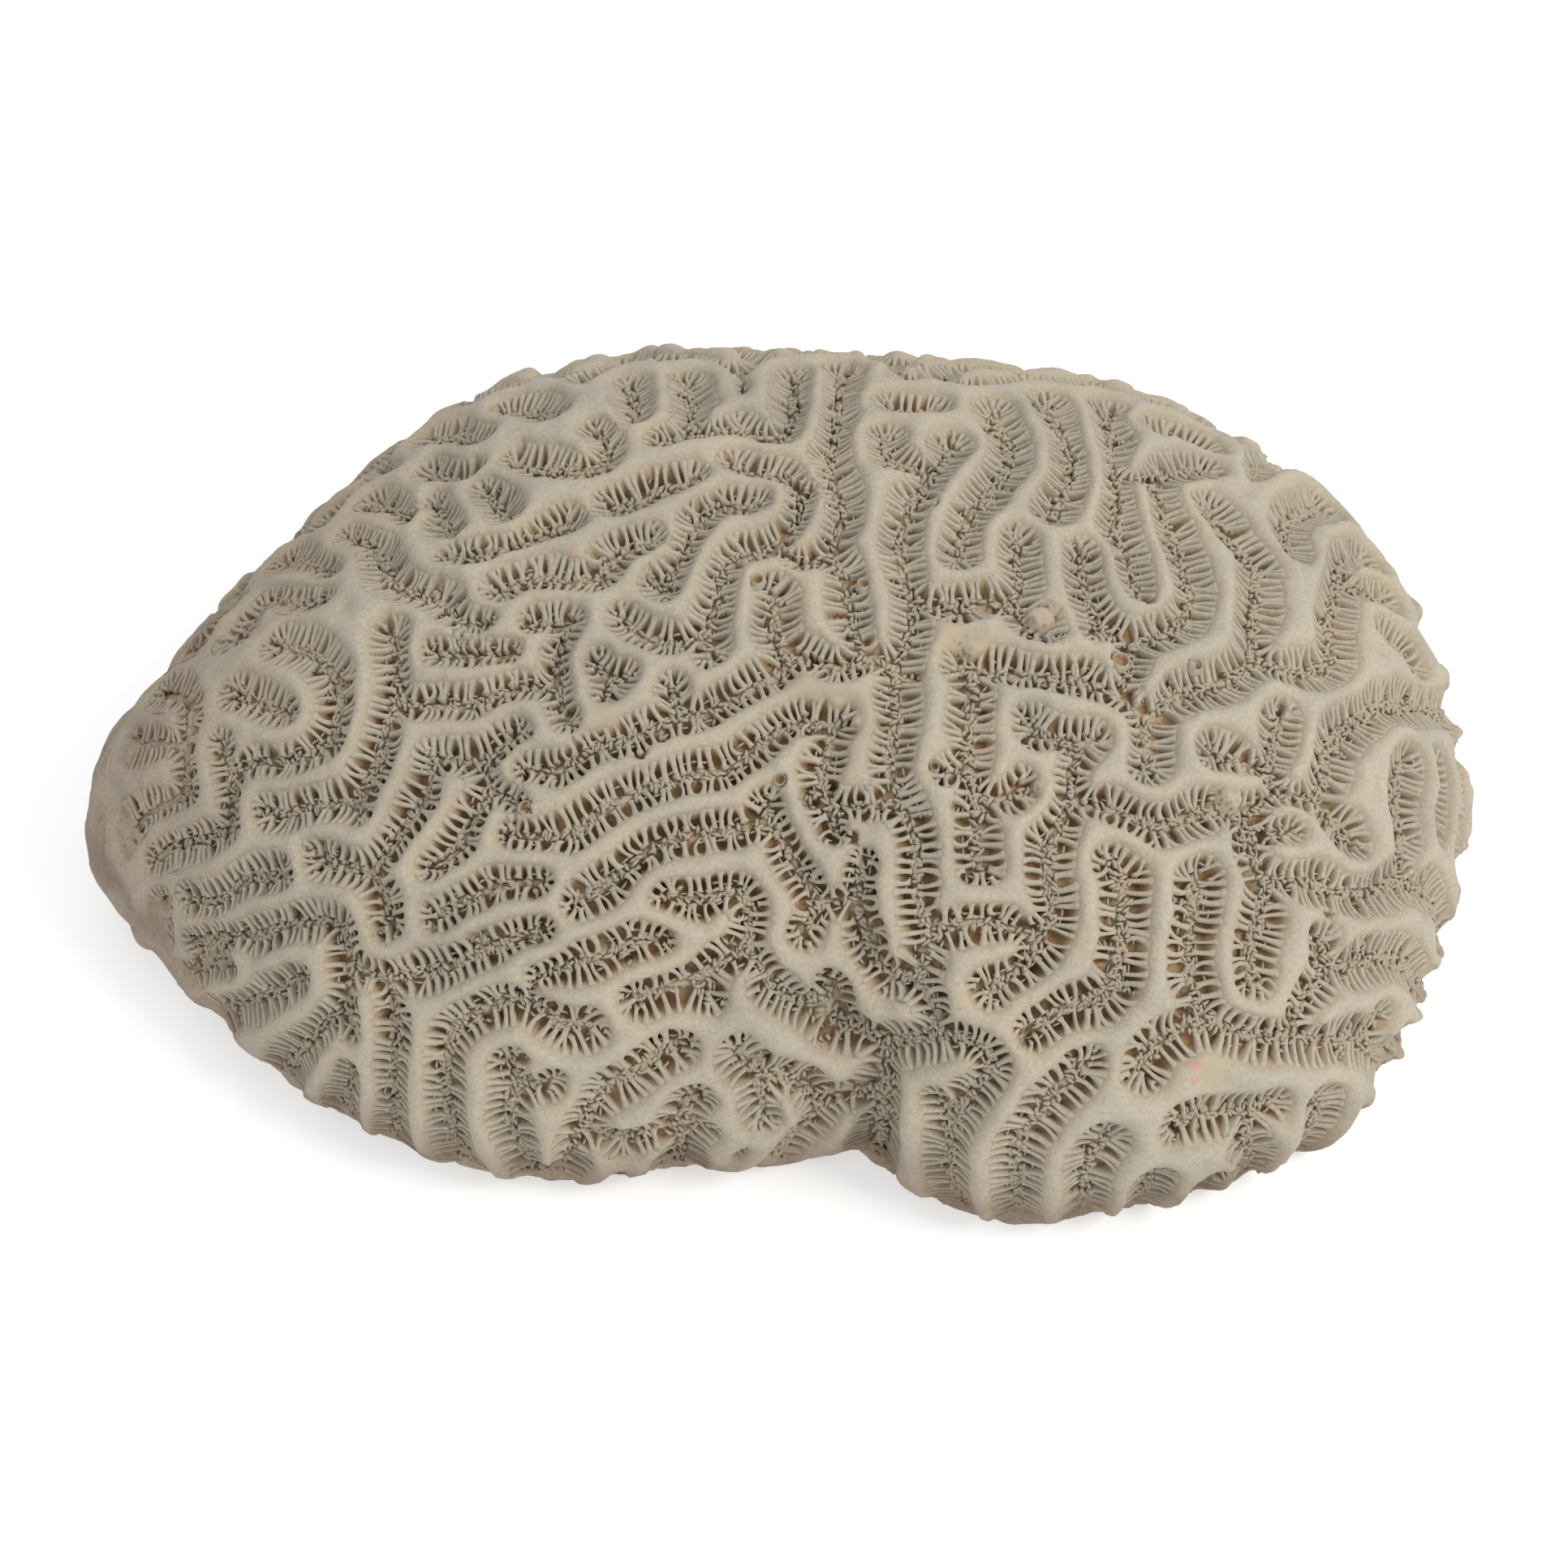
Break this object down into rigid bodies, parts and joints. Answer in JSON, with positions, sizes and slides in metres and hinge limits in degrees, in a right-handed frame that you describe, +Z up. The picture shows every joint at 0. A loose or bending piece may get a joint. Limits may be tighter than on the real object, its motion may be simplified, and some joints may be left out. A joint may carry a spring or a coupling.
{
  "type": "brain coral skeleton",
  "caption": "Dried brain coral skeleton: a two-lobed dome of winding ridges, cut off flat at its foot so that it rests as a display piece.",
  "frame": {"origin": "on the flat cut at the foot, under the middle of the bounding box", "axes": "+Z up out of the flat cut; the longer side lies along X, with the pointed end towards -X; the cleft between the two lobes faces -Y"},
  "size_m": [0.1448, 0.1074, 0.046],
  "materials": {
    "skeleton": "matt, chalky, porous"
  },
  "bodies": {
    "root": {"coral": "skeleton"}
  },
  "joints": []
}
